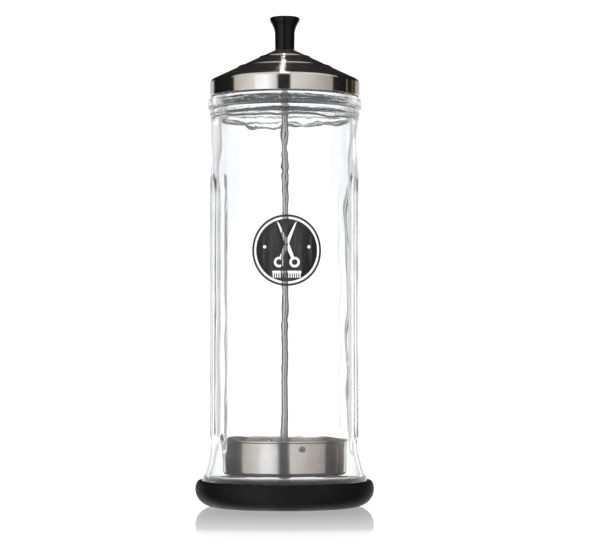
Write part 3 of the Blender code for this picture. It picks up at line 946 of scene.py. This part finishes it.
EYE_Z = 97.0 * MM
EYE_DISTANCE = 1328.0 * MM
AIM_X = 9.27 * MM
AIM_Z = 137.1 * MM
LENS = 131.4

# What the metal mirrors round the jar: panels, each with the direction where it starts, in
# degrees from the front and positive to the right, and the colors at its two ends. Each
# reaches to the next one, and the last to straight behind.
PANELS = (
    (-180.0, (0.62, 0.61, 0.58), (0.62, 0.61, 0.58)),
    (-158.0, (0.50, 0.50, 0.47), (0.36, 0.35, 0.33)),
    (-138.5, (0.003, 0.003, 0.004), (0.006, 0.006, 0.006)),
    (-84.0, (0.62, 0.58, 0.54), (0.98, 0.98, 0.96)),
    (-46.0, (1.30, 1.33, 1.36), (1.40, 1.45, 1.50)),
    (-27.0, (1.40, 1.45, 1.50), (0.80, 0.84, 0.86)),
    (-11.0, (0.012, 0.012, 0.014), (0.012, 0.012, 0.014)),
    (9.2, (0.95, 0.97, 1.00), (0.80, 0.78, 0.75)),
    (30.0, (0.80, 0.78, 0.75), (0.46, 0.44, 0.42)),
    (79.3, (0.003, 0.003, 0.003), (0.006, 0.007, 0.004)),
    (110.4, (0.55, 0.40, 0.36), (0.55, 0.40, 0.36)),
    (111.8, (0.010, 0.012, 0.006), (0.010, 0.012, 0.006)),
    (126.0, (0.17, 0.13, 0.03), (0.17, 0.13, 0.03)),
    (130.5, (0.006, 0.006, 0.006), (0.006, 0.006, 0.006)),
    (135.5, (0.20, 0.19, 0.15), (0.24, 0.23, 0.22)),
    (158.0, (0.45, 0.44, 0.42), (0.62, 0.61, 0.58)),
)
PANEL_EDGE = 0.9                    # degrees over which one panel gives way to the next
PANEL_TOPS = (9.0, 34.0)            # degrees above level where they end, behind and in front
PANEL_TOP_TURN = 0.35               # how far back or forward a direction points for either
PANEL_TOP_FADE = 0.08

# What it mirrors overhead: how far over from the level front (0) to the level back (1)
OVERHEAD = (
    (0.0, (0.5, 0.5, 0.5)), (0.20, (0.85, 0.84, 0.83)), (0.53, (0.90, 0.88, 0.85)),
    (0.57, grey(0.008)), (1.0, grey(0.008)),
)
# A thin bright tube that runs over the jar from front to back, and how bright it is there
TUBE_X = -0.022
TUBE_HALF = 0.008
TUBE_LIGHT = 140.0
TUBE_SPAN = (
    (0.0, grey(0.0)), (0.555, grey(0.0)), (0.57, grey(1.0)), (0.61, grey(1.0)),
    (0.64, grey(0.08)), (0.70, grey(0.03)), (0.72, grey(0.0)),
)

# The white that the camera and the glass see, which the glass sees dimmed in places
BACKDROP = grey(1.25)
BACKDROP_ABOVE = (1.10, 1.11, 1.15)
BACKDROP_FADE = (1.5, 5.0)          # degrees above level where the one gives way to the other
DIMMED = grey(0.25)
CEILING = (11.0, 19.0)              # degrees above level where the white ends
FLAGS = 8.0                         # narrow dark flags round the jar, one every 45 degrees
FLAG_EDGES = (-0.85, -0.55)
FLAG_STRENGTH = 0.9

# Mirrored rays see the panels, but these see some or all of the white in their place
GLASS_DEPTH = 3.5                   # one that went through 1 to 3 surfaces of glass
GLASS_SOFTENING = 0.5               # sees this much of the white
BEHIND = (139.0, 143.0)             # and every one does low down behind the jar, between
BEHIND_TOP = (5.5, 6.0)             # these degrees from the front and these above level

FLOOR_R = 0.28
FLOOR_DROP = 0.0001
FLOOR_GLOW = 1.12
FLOOR_POLISH = ((0.15, grey(0.71)), (0.60, grey(0.39)), (0.68, grey(0.18)), (1.0, grey(0.0)))


def build_camera():
    data = bpy.data.cameras.new("camera")
    data.lens = LENS
    data.sensor_width = 36.0
    data.clip_start = 0.01
    camera = bpy.data.objects.new("camera", data)
    bpy.context.scene.collection.objects.link(camera)
    camera.location = (AIM_X, -EYE_DISTANCE, EYE_Z)
    aim = Vector((AIM_X, 0.0, AIM_Z)) - camera.location
    camera.rotation_euler = aim.to_track_quat("-Z", "Y").to_euler()
    bpy.context.scene.camera = camera


def panel_stops():
    stops = [(0.0, PANELS[0][1])]
    for (_, _, before), (degrees, after, _) in zip(PANELS, PANELS[1:]):
        stops.append(((degrees - PANEL_EDGE / 2 + 180.0) / 360.0, before))
        stops.append(((degrees + PANEL_EDGE / 2 + 180.0) / 360.0, after))
    return stops


def sines(degrees):
    return [math.sin(math.radians(d)) for d in degrees]


def studio_colors(tree, x, front, z, azimuth):
    """What the metal mirrors: the panels, the ceiling and the tube over the jar."""
    around = map_range(tree, azimuth, -math.pi, math.pi, kind="LINEAR")
    panels = ramp(tree, around, panel_stops())
    over = map_range(tree, math_node(tree, "ARCTAN2", z, front), 0.0, math.pi, kind="LINEAR")
    overhead = ramp(tree, over, OVERHEAD)
    panel_top = map_range(tree, front, -PANEL_TOP_TURN, PANEL_TOP_TURN, *sines(PANEL_TOPS))
    above = map_range(tree, math_node(tree, "SUBTRACT", z, panel_top), 0.0, PANEL_TOP_FADE)
    studio = mix_colors(tree, above, panels, overhead)
    off_tube = math_node(tree, "ABSOLUTE", math_node(tree, "SUBTRACT", x, TUBE_X))
    across = map_range(tree, off_tube, TUBE_HALF, TUBE_HALF * 1.5, 1.0, 0.0)
    tube = product(tree, across, ramp(tree, over, TUBE_SPAN), TUBE_LIGHT)
    return vector_math(tree, "ADD", studio, tube)


def backdrop_colors(tree, z, azimuth, in_glass):
    """The white backdrop, with a dim ceiling and dim flags for rays that went through glass."""
    raised = product(tree, map_range(tree, z, *sines(BACKDROP_FADE)), in_glass)
    white = mix_colors(tree, raised, BACKDROP, BACKDROP_ABOVE)
    high = map_range(tree, z, *sines(CEILING))
    wave = math_node(tree, "COSINE", product(tree, azimuth, FLAGS))
    flags = product(tree, map_range(tree, wave, *FLAG_EDGES, 1.0, 0.0), FLAG_STRENGTH)
    dim = product(tree, math_node(tree, "MAXIMUM", high, flags), in_glass)
    return mix_colors(tree, dim, white, DIMMED)


def studio_share(tree, z, azimuth, rays, in_glass):
    """How much of the studio a ray sees. The rest of what it sees is the backdrop.

    Rays that come straight from the camera or only went through glass see none of it, and
    neither do those mirrored by a perfectly smooth surface, which is the glass or the table.
    """
    bounces = math_node(tree, "ADD", rays["Glossy Depth"], rays["Diffuse Depth"])
    bounced = math_node(tree, "GREATER_THAN", bounces, 0.5)
    shallow = math_node(tree, "LESS_THAN", rays["Transmission Depth"], GLASS_DEPTH)
    softened = product(tree, in_glass, shallow, GLASS_SOFTENING)
    polished = product(tree, rays["Is Singular Ray"], rays["Is Reflection Ray"])
    behind = map_range(tree, math_node(tree, "ABSOLUTE", azimuth), *map(math.radians, BEHIND))
    low = map_range(tree, z, *sines(BEHIND_TOP), 1.0, 0.0)
    low_behind = product(tree, behind, low)
    hidden = (one_minus(tree, part) for part in (softened, polished, low_behind))
    return product(tree, bounced, *hidden)


def build_world():
    """A white studio: panels that the metal mirrors, and a clean backdrop round the glass."""
    world = bpy.data.worlds.new("studio")
    bpy.context.scene.world = world
    world.use_nodes = True
    tree = world.node_tree
    tree.nodes.clear()
    direction = add_node(tree, "ShaderNodeTexCoord").outputs["Generated"]
    parts = add_node(tree, "ShaderNodeSeparateXYZ", {"Vector": direction})
    x, y, z = (parts.outputs[k] for k in "XYZ")
    front = product(tree, y, -1.0)
    azimuth = math_node(tree, "ARCTAN2", x, front)
    rays = add_node(tree, "ShaderNodeLightPath").outputs
    in_glass = math_node(tree, "GREATER_THAN", rays["Transmission Depth"], 0.5)
    studio = studio_colors(tree, x, front, z, azimuth)
    backdrop = backdrop_colors(tree, z, azimuth, in_glass)
    share = studio_share(tree, z, azimuth, rays, in_glass)
    color = mix_colors(tree, share, backdrop, studio)
    background = add_node(tree, "ShaderNodeBackground", {"Color": color, "Strength": 1.0})
    output = add_node(tree, "ShaderNodeOutputWorld")
    tree.links.new(background.outputs[0], output.inputs["Surface"])


def build_floor():
    """A white table top whose polish mirrors the boot and fades out.

    It is clear from below and to rays that have bounced, so that it darkens nothing.
    """
    bpy.ops.mesh.primitive_circle_add(vertices=128, radius=FLOOR_R, fill_type="NGON",
                                      location=(0.0, 0.0, -FLOOR_DROP))
    floor = bpy.context.active_object
    floor.name = "table_top"
    material = bpy.data.materials.new("table_white")
    material.use_nodes = True
    tree = material.node_tree
    tree.nodes.clear()
    point = add_node(tree, "ShaderNodeTexCoord").outputs["Object"]
    distance = vector_math(tree, "LENGTH", point, output="Value")
    polish = ramp(tree, math_node(tree, "DIVIDE", distance, FLOOR_R), FLOOR_POLISH)
    white = opaque(grey(1.0))
    glow = add_node(tree, "ShaderNodeEmission", {"Color": white, "Strength": FLOOR_GLOW})
    gloss = add_node(tree, "ShaderNodeBsdfGlossy", {"Color": white, "Roughness": 0.0})
    inputs = {"Fac": polish, 1: glow.outputs[0], 2: gloss.outputs[0]}
    surface = add_node(tree, "ShaderNodeMixShader", inputs)
    rays = add_node(tree, "ShaderNodeLightPath").outputs
    bounces = math_node(tree, "ADD", rays["Glossy Depth"], rays["Diffuse Depth"])
    from_below = add_node(tree, "ShaderNodeNewGeometry").outputs["Backfacing"]
    hidden = math_node(tree, "GREATER_THAN", math_node(tree, "ADD", bounces, from_below), 0.5)
    clear = add_node(tree, "ShaderNodeBsdfTransparent")
    inputs = {"Fac": hidden, 1: surface.outputs[0], 2: clear.outputs[0]}
    shown = add_node(tree, "ShaderNodeMixShader", inputs)
    output = add_node(tree, "ShaderNodeOutputMaterial")
    tree.links.new(shown.outputs[0], output.inputs["Surface"])
    floor.data.materials.append(material)


def set_look():
    scene = bpy.context.scene
    scene.view_settings.view_transform = "Standard"
    scene.cycles.max_bounces = 32
    scene.cycles.transmission_bounces = 24
    scene.cycles.glossy_bounces = 10
    scene.cycles.diffuse_bounces = 3


# ---------------------------------------------------------------- the model

def main():
    # The lid's inside color is painted shade on the inner side of its shell.
    lid_steel = steel("lid_steel", (0.72, 0.69, 0.66), 0.155, 0.035, 0.97, inside=(0.17, 0.175, 0.19))
    pan_steel = steel("pan_steel", (0.66, 0.62, 0.59), 0.20, 0.05, 0.6, across=2500.0, strength=0.15)
    rod_steel = steel("rod_steel", (0.50, 0.50, 0.49), 0.22, 0.06, 0.3, across=3000.0)
    fastener_steel = steel("fastener_steel", (0.58, 0.57, 0.56), 0.24, 0.05, 0.4, across=7000.0)
    build_glass(clear_glass())
    build_boot(boot_rubber())
    build_badge(badge_print())
    build_lid(lid_steel)
    build_knob(knob_plastic())
    build_insert(insert_brass())
    build_rod(rod_steel)
    build_pan(pan_steel)
    build_washer("washer_under_lid", "lid_washer", fastener_steel)
    build_washer("washer_in_pan", "pan_washer", fastener_steel)
    build_nut("nut_under_lid", "lid_nut", fastener_steel)
    build_nut("nut_in_pan", "pan_upper_nut", fastener_steel)
    build_nut("nut_under_pan", "pan_lower_nut", fastener_steel)
    build_camera()
    build_world()
    build_floor()
    set_look()


main()
